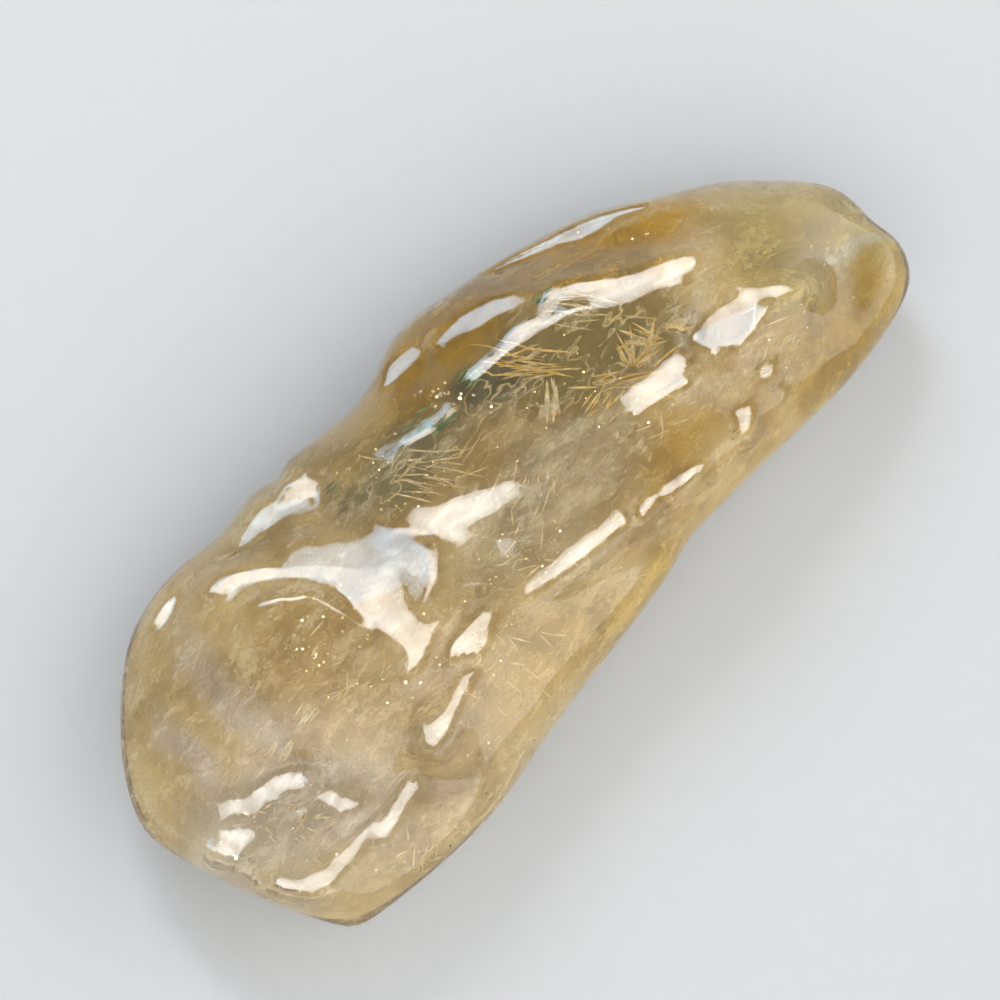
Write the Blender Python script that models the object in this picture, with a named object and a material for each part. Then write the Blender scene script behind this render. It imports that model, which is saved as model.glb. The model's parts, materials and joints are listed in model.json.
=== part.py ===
"""A polished prasiolite: one freeform piece of clear quartz, hand-sized, lying on its flat side.

The stone is a pillow. Its outline is a closed curve in the plane where it is widest. A grid of points is
spread evenly inside the outline, once for the upper face and once for the underside, and each point is
lifted by a rounded section. Ridges, hollows and ledges are then added to both faces. The whole form leans
a little, and the underside is ground flat where the stone rests.

Frame: X runs along the stone, Z is up, and the origin is the middle of the stone's box on the surface it
lies on. Sizes below are in millimetres.
"""

import bmesh
import bpy
import numpy as np

MM = 0.001

# Height of the upper face over the widest plane, depth of the underside below it, and the ground flat.
TOP_RISE = 7.8
UNDER_DROP = 6.6
REST_DEPTH = 5.6
# Sideways shift of the form for each millimetre of height.
LEAN_X = -0.27
LEAN_Y = -0.24
# How square the section is along the stone and across it; 2 is an ellipse.
SQUARENESS_ALONG = 4.5
SQUARENESS_ACROSS = 2.3
# The stone is thinner towards both ends and thickest a little past its middle.
THICKEST_X = 6.0
END_THINNING = 0.24
HALF_LENGTH = 31.3

# Cells of the grid along and across, and how far the finer rows reach in from the rim.
CELLS_ALONG = 64
CELLS_ACROSS = 28
FINE_ENDS = 0.16
FINE_SIDES = 0.7
RELAX_TURNS = 900
CURVE_STEPS = 12

# The outline, in four runs that share their end points, from the lower end's upper corner and clockwise.
UPPER_EDGE = (
    (-20.7, 12.3), (-18.7, 12.7), (-16.1, 12.7), (-13.5, 12.3), (-12.0, 12.5), (-9.9, 12.7),
    (-8.5, 12.4), (-7.6, 12.0), (-7.0, 12.6), (-5.6, 12.4), (-3.6, 12.1), (-1.7, 11.8), (0.8, 12.1),
    (3.4, 13.0), (6.1, 13.2), (8.1, 12.7), (11.1, 12.1), (14.9, 11.0), (19.0, 9.6), (22.3, 7.4), (26.2, 4.8),
)
TIP_EDGE = (
    (26.2, 4.8), (28.9, 2.1), (30.7, -0.2), (31.3, -2.2), (31.0, -4.6), (31.2, -6.2), (30.7, -7.7),
    (29.6, -9.0), (27.7, -9.8),
)
LOWER_EDGE = (
    (27.7, -9.8), (24.6, -10.4), (20.9, -10.7), (15.9, -10.5), (11.4, -10.3), (7.6, -10.2), (6.0, -10.3),
    (4.3, -10.8), (0.7, -11.3), (-4.8, -11.8), (-9.7, -12.4), (-14.9, -13.2), (-19.6, -13.1),
    (-23.8, -12.6), (-26.2, -12.1), (-27.1, -11.5),
)
FOOT_EDGE = (
    (-27.1, -11.5), (-28.0, -9.9), (-29.4, -6.4), (-30.4, -3.0), (-31.0, -0.1), (-31.3, 1.7),
    (-30.6, 3.8), (-29.0, 6.2), (-26.9, 8.4), (-24.4, 10.5), (-22.3, 11.8), (-20.7, 12.3),
)

# Rounded swells of the upper face: where each runs, its half width, and its height (a hollow's is negative).
TOP_SWELLS = {
    "trough inside the rim": (((2.3, 10.2), (6.8, 10.0), (12.1, 8.6), (17.4, 6.8), (23.1, 3.7)), 1.7, -0.8),
    "crest over the window": (((5.3, 7.4), (8.5, 7.2), (12.0, 7.0), (15.3, 5.2), (18.6, 3.4), (21.2, 2.1)),
                              1.5, 0.7),
    "window hollow": (((-0.3, 5.4), (5.7, 4.2), (11.9, 2.4), (17.1, 0.1)), 2.8, -0.8),
    "waist valley": (((-8.9, 10.0), (-7.0, 7.4), (-3.8, 5.6), (-0.7, 4.4)), 2.0, -1.1),
    "lower bulge": (((-15.0, 2.6), (-8.6, -0.4)), 6.0, 1.1),
    "side crest": (((-3.2, -4.8), (2.0, -5.8), (6.7, -6.7), (10.7, -7.4), (14.7, -7.7)), 1.5, 0.9),
    "hollow outside the side crest": (((-2.6, -7.6), (4.1, -8.6), (9.5, -9.0)), 1.6, -0.5),
    "crest down the foot": (((-5.2, -3.4), (-8.4, -5.5), (-11.9, -6.6), (-14.9, -8.2)), 1.6, 0.7),
    "right-hand crest": (((18.1, -0.9), (20.8, -1.9), (23.8, -4.0)), 1.5, 0.7),
    "small crest by the window": (((10.5, -0.9), (12.6, -1.4), (15.4, -2.0)), 1.4, 0.5),
    "crest at the middle": (((-3.7, 1.9), (-1.5, 2.1), (1.5, 0.6)), 1.5, 0.6),
    "rolled edge of the foot": (((-28.4, -6.1), (-25.5, -8.1), (-21.6, -8.4)), 1.5, 0.6),
    "dimple of the shoulder": (((3.3, 10.9),), 1.6, -0.5),
    "dip of the foot, upper": (((-27.4, -0.2),), 1.5, -0.6),
    "dip of the foot, lower": (((-26.0, -3.8), (-23.0, -3.4)), 1.5, -0.6),
    "hollow of the tip": (((27.4, -4.7),), 2.2, -0.6),
}
# Ledges of the upper face: the line of each, its softness, and its fall towards the line's right side.
TOP_LEDGES = {
    "ledge at the upper notch": (((-7.4, 12.6), (-7.3, 11.2), (-6.6, 10.0), (-5.4, 9.2)), 0.9, -0.9),
    "ledge at the lower notch": (((-13.0, 12.8), (-12.0, 11.8), (-10.3, 11.0), (-8.4, 9.8)), 0.9, -0.8),
    "front lobe of the tip": (((31.6, -4.4), (30.2, -5.6), (28.6, -6.8), (26.8, -7.6)), 0.8, -1.4),
}
UNDER_SWELLS = {
    "long hollow": (((-12.0, 6.0), (2.0, 7.6), (14.0, 5.6)), 2.6, -0.8),
    "keel": (((-18.0, -3.5), (-4.0, -6.5), (10.0, -6.0)), 2.4, 0.7),
    "hollow by the tip": (((22.0, -2.5),), 3.2, -0.9),
    "dip at the foot": (((-24.0, 2.5),), 3.0, -0.8),
}


def smooth_loop(points):
    """The closed curve through the points, CURVE_STEPS pieces from each point to the next."""
    before, here = np.roll(points, 1, axis=0), points
    after, beyond = np.roll(points, -1, axis=0), np.roll(points, -2, axis=0)
    pieces = []
    for t in np.arange(CURVE_STEPS) / CURVE_STEPS:
        pieces.append(0.5 * (2 * here + (after - before) * t
                             + (2 * before - 5 * here + 4 * after - beyond) * t**2
                             + (3 * here - before - 3 * after + beyond) * t**3))
    return np.stack(pieces, axis=1).reshape(-1, 2)


def fine_at_ends(cells, reach):
    """Places from 0 to 1 for the grid's lines, closer together within reach of both ends."""
    place = np.linspace(0.0, 1.0, cells + 1)
    inset = 2 * np.minimum(place, 1 - place)
    eased = np.where(inset < reach, inset**2 / (2 * reach), inset - reach / 2) / (1 - reach / 2)
    return np.where(place < 0.5, eased / 2, 1 - eased / 2)


def along_run(run, places):
    """Points at the given shares of the run's length."""
    length = np.concatenate([[0.0], np.cumsum(np.linalg.norm(np.diff(run, axis=0), axis=1))])
    share = length / length[-1]
    return np.stack([np.interp(places, share, run[:, axis]) for axis in (0, 1)], axis=1)


def outline_runs():
    """The four runs of the outline as fine curves, each from corner to corner."""
    runs = (UPPER_EDGE, TIP_EDGE, LOWER_EDGE, FOOT_EDGE)
    loop = smooth_loop(np.array([point for run in runs for point in run[:-1]]))
    loop = np.vstack([loop, loop[:1]])
    cuts = np.cumsum([0] + [(len(run) - 1) * CURVE_STEPS for run in runs])
    return [loop[start:stop + 1] for start, stop in zip(cuts[:-1], cuts[1:])]


def plan_grid():
    """Plan places of the grid and its two coordinates, each from -1 to 1."""
    even_u = np.linspace(0.0, 1.0, CELLS_ALONG + 1)
    even_v = np.linspace(0.0, 1.0, CELLS_ACROSS + 1)
    upper, tip, lower, foot = outline_runs()
    plan = np.zeros((CELLS_ALONG + 1, CELLS_ACROSS + 1, 2))
    plan[:, -1] = along_run(upper, even_u)
    plan[:, 0] = along_run(lower[::-1], even_u)
    plan[0] = along_run(foot, even_v)
    plan[-1] = along_run(tip[::-1], even_v)
    plan[1:-1, 1:-1] = (plan[1:-1, :1] * (1 - even_v[1:-1, None]) + plan[1:-1, -1:] * even_v[1:-1, None])
    for _ in range(RELAX_TURNS):
        plan[1:-1, 1:-1] = (plan[2:, 1:-1] + plan[:-2, 1:-1] + plan[1:-1, 2:] + plan[1:-1, :-2]) / 4
    u, v = fine_at_ends(CELLS_ALONG, FINE_ENDS), fine_at_ends(CELLS_ACROSS, FINE_SIDES)
    rows = np.stack([[np.interp(u, even_u, plan[:, j, axis]) for j in range(CELLS_ACROSS + 1)]
                     for axis in (0, 1)])
    fine = np.stack([[np.interp(v, even_v, rows[axis][:, i]) for i in range(CELLS_ALONG + 1)]
                     for axis in (0, 1)], axis=-1)
    return fine, 2 * u - 1, 2 * v - 1


def away_from(path, plan):
    """Distance of each place to a path, and how far it lies to the path's left (negative: right)."""
    best = np.full(plan.shape[:2], np.inf)
    side = np.zeros(plan.shape[:2])
    corners = np.array(path, dtype=float)
    for start, stop in zip(corners, np.vstack([corners[1:], corners[-1:]])):
        run = stop - start
        square = max(run @ run, 1e-12)
        share = np.clip((plan - start) @ run / square, 0.0, 1.0)
        gap = plan - start - share[..., None] * run
        distance = np.linalg.norm(gap, axis=-1)
        across = (run[0] * gap[..., 1] - run[1] * gap[..., 0]) / np.sqrt(square)
        side = np.where(distance < best, across, side)
        best = np.minimum(best, distance)
    return best, side


def swells(table, plan):
    """The height that a table of swells and hollows adds at each place."""
    height = np.zeros(plan.shape[:2])
    for path, half_width, rise in table.values():
        distance, _ = away_from(path, plan)
        height += rise * np.exp(-((distance / half_width) ** 2))
    return height


def ledges(table, plan):
    """The height that a table of ledges adds: a step at each line that fades away from it."""
    height = np.zeros(plan.shape[:2])
    for path, softness, fall in table.values():
        distance, side = away_from(path, plan)
        right = (1 - np.tanh(side / softness)) / 2
        height += fall * right * np.exp(-((distance / (4 * softness)) ** 2))
    return height


def section(u, v, plan):
    """Height of the rounded form at each grid point, from 0 at the rim to about 1."""
    along = 1 - np.abs(u) ** SQUARENESS_ALONG
    across = 1 - np.abs(v) ** SQUARENESS_ACROSS
    thickness = 1 - END_THINNING * ((plan[..., 0] - THICKEST_X) / HALF_LENGTH) ** 2
    return np.sqrt(np.outer(along, across)) * thickness


def stone_points():
    """Upper and lower points of the stone's grid, in millimetres."""
    plan, u, v = plan_grid()
    form = section(u, v, plan)
    inside = np.minimum(1.0, 1.6 * form)
    top = TOP_RISE * form + inside * (swells(TOP_SWELLS, plan) + ledges(TOP_LEDGES, plan))
    under = UNDER_DROP * form + inside * swells(UNDER_SWELLS, plan)
    faces = []
    for height in (top, -np.minimum(under, REST_DEPTH)):
        lean = np.stack([LEAN_X * height, LEAN_Y * height, height], axis=-1)
        faces.append(np.concatenate([plan, np.zeros_like(plan[..., :1])], axis=-1) + lean)
    return faces


def make_mesh(name):
    """The closed mesh of the stone, with its box centred over the origin and its flat at height 0."""
    top, under = stone_points()
    both = np.concatenate([top.reshape(-1, 3), under.reshape(-1, 3)])
    low, high = both.min(axis=0), both.max(axis=0)
    centre = np.array([(low[0] + high[0]) / 2, (low[1] + high[1]) / 2, low[2]])
    form = bmesh.new()
    upper = [[form.verts.new((point - centre) * MM) for point in row] for row in top]
    lower = [row[:] for row in upper]
    for i in range(1, CELLS_ALONG):
        for j in range(1, CELLS_ACROSS):
            lower[i][j] = form.verts.new((under[i, j] - centre) * MM)
    for i in range(CELLS_ALONG):
        for j in range(CELLS_ACROSS):
            form.faces.new((upper[i][j], upper[i + 1][j], upper[i + 1][j + 1], upper[i][j + 1]))
            form.faces.new((lower[i][j], lower[i][j + 1], lower[i + 1][j + 1], lower[i + 1][j]))
    mesh = bpy.data.meshes.new(name)
    form.to_mesh(mesh)
    form.free()
    mesh.shade_smooth()
    return mesh


def clear_quartz(name):
    """Clear olive-yellow quartz with a polished surface."""
    material = bpy.data.materials.new(name)
    material.use_nodes = True
    shader = material.node_tree.nodes["Principled BSDF"]
    shader.inputs["Base Color"].default_value = (0.62, 0.52, 0.26, 1.0)
    shader.inputs["Roughness"].default_value = 0.03
    shader.inputs["Metallic"].default_value = 0.0
    shader.inputs["IOR"].default_value = 1.545
    shader.inputs["Transmission Weight"].default_value = 1.0
    return material


def main():
    for old in list(bpy.data.objects):
        bpy.data.objects.remove(old, do_unlink=True)
    stone = bpy.data.objects.new("prasiolite", make_mesh("prasiolite"))
    stone.data.materials.append(clear_quartz("polished_prasiolite"))
    bpy.context.scene.collection.objects.link(stone)


main()
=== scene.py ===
"""Looks of a polished prasiolite: a clear olive-yellow quartz with veils, needles and bright flecks inside.

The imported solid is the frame. The stone's own piece is a copy of that solid, subdivided and then ground:
small planes are cut into its upper face that mirror the softboxes where the photograph shows highlights.
Places on the upper face are read off the photograph, in its pixels, and PictureView turns them into the
part's plan. Everything else is in millimetres until it becomes a mesh.
"""

import json
import logging
import math
from dataclasses import dataclass, field
from enum import Enum
from typing import ClassVar

import bpy
import numpy as np
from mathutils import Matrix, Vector, noise
from mathutils.bvhtree import BVHTree

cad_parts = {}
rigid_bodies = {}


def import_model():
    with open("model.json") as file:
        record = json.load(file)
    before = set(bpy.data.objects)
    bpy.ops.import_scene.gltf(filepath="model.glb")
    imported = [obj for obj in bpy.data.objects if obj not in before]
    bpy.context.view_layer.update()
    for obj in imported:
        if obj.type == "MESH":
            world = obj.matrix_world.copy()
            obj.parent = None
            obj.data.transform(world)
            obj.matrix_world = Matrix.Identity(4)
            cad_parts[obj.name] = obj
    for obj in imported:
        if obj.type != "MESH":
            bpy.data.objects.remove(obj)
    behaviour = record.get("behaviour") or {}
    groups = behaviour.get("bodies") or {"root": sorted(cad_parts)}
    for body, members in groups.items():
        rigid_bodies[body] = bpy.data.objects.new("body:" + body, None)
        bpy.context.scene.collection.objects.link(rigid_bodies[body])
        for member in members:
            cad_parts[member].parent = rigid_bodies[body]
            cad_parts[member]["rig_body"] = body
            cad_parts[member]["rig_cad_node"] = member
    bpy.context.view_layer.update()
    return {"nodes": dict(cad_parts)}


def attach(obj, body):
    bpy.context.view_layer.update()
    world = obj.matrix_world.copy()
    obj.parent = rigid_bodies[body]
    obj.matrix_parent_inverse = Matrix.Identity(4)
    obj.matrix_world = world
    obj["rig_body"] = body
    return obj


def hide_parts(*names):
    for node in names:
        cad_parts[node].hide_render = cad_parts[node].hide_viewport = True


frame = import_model()

LOG = logging.getLogger("prasiolite")
MM = 0.001
NODE = "prasiolite"
BODY = "root"

# The solid's own form: how high its widest plane lies, and its sideways lean for each millimetre of height.
WIDEST_Z = 5.6
LEAN = (-0.27, -0.24)

PATCH = tuple[tuple[float, float], ...]


def linear(code: str, alpha: float = 1.0) -> tuple[float, float, float, float]:
    """Turns an sRGB hex colour into linear values.

    Args:
        code: The colour as #RRGGBB.
        alpha: The fourth value.

    Returns:
        Linear red, green, blue and alpha.
    """
    parts = [int(code[i:i + 2], 16) / 255 for i in (1, 3, 5)]
    red, green, blue = (c / 12.92 if c <= 0.04045 else ((c + 0.055) / 1.055) ** 2.4 for c in parts)
    return (red, green, blue, alpha)


def under_polish(code: str) -> tuple[float, float, float, float]:
    """Finds the colour that haze must have to show a given colour through polished quartz.

    A polished surface sends much of the light that haze scatters back inside, so haze looks darker and
    stronger in colour through it.

    Args:
        code: The colour to be seen, as #RRGGBB.

    Returns:
        Linear red, green, blue and alpha of the haze.
    """
    entering, kept_inside, whitest = 0.30, 0.55, 0.95
    haze = [c / (entering + kept_inside * c) for c in linear(code)[:3]]
    share = min(1.0, whitest / max(haze))
    return tuple(c * share for c in haze) + (1.0,)


def add_node(tree: bpy.types.NodeTree, kind: str, settings: dict | None = None,
             links: dict | None = None) -> bpy.types.Node:
    """Adds a node with its settings and links.

    Args:
        tree: The node tree that takes it.
        kind: Blender's name for the type of node.
        settings: Values by input or attribute name; "stops" holds a ramp's (place, colour) pairs.
        links: Feeding output sockets by input name or number.

    Returns:
        The new node.
    """
    node = tree.nodes.new(kind)
    for name, value in (settings or {}).items():
        if name == "stops":
            ramp = node.color_ramp.elements
            while len(ramp) < len(value):
                ramp.new(0.5)
            for element, (place, colour) in zip(ramp, value):
                element.position = place
                element.color = colour
        elif isinstance(name, int) or name in node.inputs:
            node.inputs[name].default_value = value
        else:
            setattr(node, name, value)
    for name, socket in (links or {}).items():
        tree.links.new(socket, node.inputs[name])
    return node


def new_material(name: str) -> tuple[bpy.types.Material, bpy.types.NodeTree, bpy.types.Node]:
    """Starts a material with an empty node tree.

    Args:
        name: The material's name.

    Returns:
        The material, its node tree and its output node.
    """
    material = bpy.data.materials.new(name)
    material.use_nodes = True
    tree = material.node_tree
    tree.nodes.clear()
    return material, tree, add_node(tree, "ShaderNodeOutputMaterial")


def deselect_all() -> None:
    """Leaves nothing selected."""
    bpy.ops.object.select_all(action="DESELECT")


def settle_object(piece: bpy.types.Object, name: str) -> bpy.types.Object:
    """Args:
        piece: The finished mesh object.
        name: The piece's name.

    Returns:
        The same object.
    """
    deselect_all()
    piece.select_set(True)
    bpy.context.view_layer.objects.active = piece
    bpy.ops.object.transform_apply(location=True, rotation=True, scale=True)
    piece.name = name
    piece.data.name = name
    # The polish stops every shadow ray first, so what lies under it need not be asked.
    piece.visible_shadow = name == StoneBody.name
    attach(piece, BODY)
    return piece


@dataclass(frozen=True)
class PictureView:
    """The photograph's view of the stone: where its pixels fall on the part's plan."""

    azimuth: float = -48.0
    elevation: float = 70.0
    pixels_per_mm: float = 15.6
    frame_pixels: float = 1000.0
    middle_on_plan: tuple[float, float] = (0.40, 0.58)
    distance_mm: float = 500.0

    @property
    def right(self) -> np.ndarray:
        """The picture's rightward direction in the part's frame."""
        turn = math.radians(self.azimuth)
        return np.array([math.cos(turn), math.sin(turn), 0.0])

    @property
    def ahead(self) -> np.ndarray:
        """The level direction that the picture's upward direction leans over."""
        turn = math.radians(self.azimuth)
        return np.array([-math.sin(turn), math.cos(turn), 0.0])

    @property
    def back(self) -> np.ndarray:
        """The direction from the stone to the camera."""
        rise = math.radians(self.elevation)
        return np.array([0.0, 0.0, math.sin(rise)]) - self.ahead * math.cos(rise)

    @property
    def upward(self) -> np.ndarray:
        """The picture's upward direction."""
        return np.cross(self.back, self.right)

    @property
    def middle(self) -> np.ndarray:
        """The point of the widest plane that the picture's middle shows, in millimetres."""
        return np.array([*self.middle_on_plan, WIDEST_Z])

    def pixels(self, x: np.ndarray, y: np.ndarray) -> tuple[np.ndarray, np.ndarray]:
        """Finds the photograph's pixels for places on the plan.

        Args:
            x: Plan places along the stone, in millimetres.
            y: Plan places across it.

        Returns:
            Pixel columns and rows.
        """
        dx, dy = x - self.middle_on_plan[0], y - self.middle_on_plan[1]
        across = dx * self.right[0] + dy * self.right[1]
        up = (dx * self.ahead[0] + dy * self.ahead[1]) * math.sin(math.radians(self.elevation))
        half = self.frame_pixels / 2
        return half + across * self.pixels_per_mm, half - up * self.pixels_per_mm

    def place(self, column: float, row: float, height: float) -> Vector:
        """Finds the point at a height that a pixel of the photograph shows.

        Args:
            column: The pixel's column.
            row: The pixel's row.
            height: The point's height over the surface the stone lies on, in millimetres.

        Returns:
            The point in the part's frame, in millimetres.
        """
        half = self.frame_pixels / 2
        across = (column - half) / self.pixels_per_mm
        up = (half - row) / self.pixels_per_mm
        rise = math.radians(self.elevation)
        over = (up - (height - WIDEST_Z) * math.cos(rise)) / math.sin(rise)
        point = self.middle + self.right * across + self.ahead * over
        point[2] = height
        return Vector(point)


class Aim(Enum):
    """What a ground plane mirrors to the camera."""

    ROOM = "room between the key softbox and the camera"
    FILL = "fill softbox"
    KEY = "key softbox"


@dataclass(frozen=True)
class Softbox:
    """A square softbox, placed by its angles off the line from the stone to the camera."""

    name: str
    right_deg: float
    up_deg: float
    half_deg: float
    radiance: float
    distance_mm: float = 600.0
    tint: str = "#FFFFFF"
    # How bright its cloth is at the edge and in the middle, as shares of the radiance.
    falloff: tuple[float, float] = (0.35, 1.9)

    def direction(self, view: PictureView) -> np.ndarray:
        """The unit direction from the stone to the softbox."""
        way = (view.back + view.right * math.tan(math.radians(self.right_deg))
               + view.upward * math.tan(math.radians(self.up_deg)))
        return way / np.linalg.norm(way)

    def build(self, view: PictureView) -> bpy.types.Object:
        """Adds the softbox as an area light.

        Args:
            view: The picture's view, which its place is measured from.

        Returns:
            The light's object.
        """
        side = 2 * self.distance_mm * MM * math.tan(math.radians(self.half_deg))
        data = bpy.data.lights.new(self.name, "AREA")
        data.shape = "SQUARE"
        data.size = side
        data.energy = math.pi * side * side * self.radiance
        data.color = linear(self.tint)[:3]
        data.use_nodes = True
        tree = data.node_tree
        cloth = add_node(tree, "ShaderNodeNewGeometry").outputs["Parametric"]
        from_middle = add_node(tree, "ShaderNodeMapping", {"Location": (-0.8, -0.8, 0.0), "Scale": (1.6, 1.6, 0.0)},
                               {"Vector": cloth})
        glow = add_node(tree, "ShaderNodeTexGradient", {"gradient_type": "SPHERICAL"},
                        {"Vector": from_middle.outputs[0]})
        strength = add_node(tree, "ShaderNodeMapRange", {"To Min": self.falloff[0], "To Max": self.falloff[1]},
                            {"Value": glow.outputs["Fac"]})
        tree.links.new(strength.outputs[0], tree.nodes["Emission"].inputs["Strength"])
        lamp = bpy.data.objects.new(self.name, data)
        bpy.context.scene.collection.objects.link(lamp)
        lamp.location = Vector((view.middle + self.direction(view) * self.distance_mm) * MM)
        lamp.rotation_euler = Vector(self.direction(view)).to_track_quat("Z", "Y").to_euler()
        return lamp


VIEW = PictureView()
SOFTBOXES = {
    Aim.KEY: Softbox("key_softbox", right_deg=-18.0, up_deg=56.0, half_deg=9.0, radiance=5.9),
    Aim.FILL: Softbox("fill_softbox", right_deg=-44.0, up_deg=64.0, half_deg=9.0, radiance=4.6,
                      tint="#C2E2FF"),
}

# Planes ground on the upper face, each by its corners in the photograph's pixels, and what each mirrors.
GROUND_PLANES: dict[str, tuple[Aim, PATCH]] = {
    "window": (Aim.ROOM, (
        (480, 400), (505, 372), (530, 342), (552, 320), (580, 310), (620, 312), (655, 298), (682, 286),
        (688, 300), (678, 322), (672, 342), (650, 355), (628, 372), (625, 400), (612, 425), (590, 446),
        (565, 470), (540, 484), (511, 484), (505, 480), (480, 455))),
    "hollow under the shoulder": (Aim.ROOM, (
        (262, 602), (285, 594), (310, 592), (332, 600), (350, 613), (372, 634), (392, 650), (398, 664),
        (380, 672), (350, 662), (318, 650), (288, 636), (266, 620))),
    "lower window": (Aim.ROOM, (
        (392, 470), (420, 446), (452, 420), (470, 430), (482, 455), (505, 478), (480, 494), (455, 502),
        (440, 512), (434, 531), (422, 540), (410, 530), (393, 527), (386, 505))),
    "under the right-hand crest": (Aim.FILL, (
        (703, 324), (740, 310), (756, 304), (770, 306), (765, 316), (755, 330), (741, 349), (715, 351),
        (689, 346), (690, 335))),
    "under the small crest": (Aim.FILL, (
        (628, 406), (655, 389), (680, 374), (690, 386), (670, 396), (650, 409), (635, 421))),
    "shoulder of the lower bulge": (Aim.FILL, (
        (210, 594), (235, 569), (260, 574), (275, 571), (285, 563), (293, 547), (310, 541), (345, 538),
        (365, 535), (380, 530), (393, 525), (410, 528), (420, 540), (432, 555), (435, 575), (425, 600),
        (410, 625), (400, 636), (385, 625), (370, 612), (350, 597), (335, 588), (320, 581), (300, 580),
        (285, 579), (265, 583), (245, 589))),
    "lower notch": (Aim.FILL, (
        (231, 556), (245, 530), (262, 508), (280, 501), (300, 499), (315, 501), (300, 509), (285, 516),
        (270, 531), (250, 546))),
    "dimple of the shoulder": (Aim.FILL, (
        (382, 389), (385, 368), (398, 352), (415, 346), (426, 352), (415, 363), (400, 379), (390, 389))),
    "trough inside the rim": (Aim.FILL, (
        (432, 347), (445, 330), (462, 315), (490, 300), (512, 293), (540, 297), (520, 311), (500, 319),
        (480, 331), (455, 341), (440, 348))),
    "rim": (Aim.FILL, (
        (478, 274), (500, 258), (520, 248), (545, 238), (560, 229), (590, 216), (620, 207), (650, 201),
        (650, 208), (620, 216), (600, 230), (580, 240), (560, 245), (545, 252), (520, 260), (500, 269))),
    "crest over the window": (Aim.KEY, (
        (545, 293), (560, 284), (600, 279), (630, 275), (650, 268), (665, 262), (680, 256), (691, 254),
        (697, 262), (690, 272), (680, 277), (660, 287), (640, 297), (620, 304), (600, 302), (580, 299),
        (560, 303), (548, 316), (538, 324), (528, 332), (518, 342), (507, 353), (490, 368), (474, 380),
        (470, 377), (480, 366), (492, 355), (505, 341), (515, 329), (527, 320), (540, 314), (546, 306),
        (542, 298))),
    "right-hand crest": (Aim.KEY, (
        (703, 320), (720, 311), (740, 300), (760, 292), (785, 286), (800, 290), (785, 296), (762, 300),
        (742, 307), (722, 316), (708, 322))),
    "small crest": (Aim.KEY, (
        (620, 402), (645, 385), (660, 372), (683, 357), (686, 367), (672, 376), (655, 388), (640, 398),
        (628, 406))),
    "middle crest": (Aim.KEY, (
        (434, 531), (445, 512), (455, 504), (480, 496), (511, 484), (506, 500), (487, 511), (475, 519),
        (462, 527), (455, 538), (445, 537))),
    "bright edge of the shoulder": (Aim.KEY, (
        (214, 591), (228, 577), (250, 569), (280, 565), (310, 566), (340, 567), (372, 582), (398, 598),
        (416, 615), (423, 634), (402, 640), (380, 622), (360, 603), (340, 588), (318, 580), (290, 579),
        (262, 583), (240, 588))),
    "corner of the foot": (Aim.KEY, (
        (157, 612), (163, 603), (179, 598), (173, 612), (162, 628), (157, 622))),
    "upper notch": (Aim.KEY, (
        (281, 499), (288, 487), (300, 481), (321, 479), (319, 490), (305, 496), (290, 500))),
    "side crest, lower run": (Aim.KEY, (
        (521, 589), (557, 562), (589, 538), (619, 514), (627, 522), (596, 549), (564, 573), (530, 595))),
    "side crest, middle run": (Aim.KEY, ((635, 509), (650, 495), (657, 502), (643, 517))),
    "side crest, upper run": (Aim.KEY, (
        (658, 489), (679, 474), (697, 462), (703, 470), (685, 484), (665, 498))),
    "blade": (Aim.KEY, (
        (404, 634), (420, 632), (432, 630), (440, 615), (448, 603), (443, 618), (435, 632), (428, 650),
        (420, 665), (407, 678), (411, 660), (415, 646), (405, 641))),
    "long strip down the foot, upper run": (Aim.KEY, (
        (485, 603), (490, 625), (490, 640), (484, 652), (472, 657), (454, 655), (450, 646), (460, 632),
        (470, 620))),
    "long strip down the foot, lower run": (Aim.KEY, (
        (481, 663), (478, 670), (470, 685), (462, 700), (455, 715), (449, 730), (438, 744), (426, 740),
        (425, 730), (440, 715), (450, 700), (456, 685), (460, 673), (470, 664))),
    "streak of the foot": (Aim.KEY, (
        (379, 829), (387, 810), (397, 792), (410, 771), (420, 767), (418, 784), (408, 802), (398, 820),
        (388, 834))),
    "first scallop of the foot": (Aim.KEY, (
        (221, 793), (243, 789), (241, 800), (230, 813), (223, 806))),
    "second scallop of the foot": (Aim.KEY, (
        (250, 790), (265, 780), (285, 765), (309, 759), (305, 772), (290, 786), (280, 796), (262, 806),
        (250, 813), (245, 800))),
    "third scallop of the foot": (Aim.KEY, (
        (212, 846), (225, 830), (240, 822), (266, 817), (262, 830), (250, 841), (245, 854), (235, 850),
        (224, 856))),
    "fourth scallop of the foot": (Aim.KEY, (
        (320, 790), (335, 780), (345, 787), (360, 794), (363, 802), (345, 807), (330, 801))),
    "rolled edge of the foot": (Aim.KEY, (
        (268, 881), (285, 867), (300, 869), (315, 867), (335, 855), (350, 839), (360, 827), (379, 806),
        (375, 822), (367, 838), (353, 859), (336, 875), (318, 886), (295, 889), (280, 889))),
    "first facet by the tip": (Aim.KEY, ((756, 373), (764, 362), (773, 363), (773, 379), (760, 381))),
    "second facet by the tip": (Aim.KEY, (
        (733, 410), (742, 407), (751, 415), (749, 431), (740, 440), (735, 426))),
}


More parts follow.
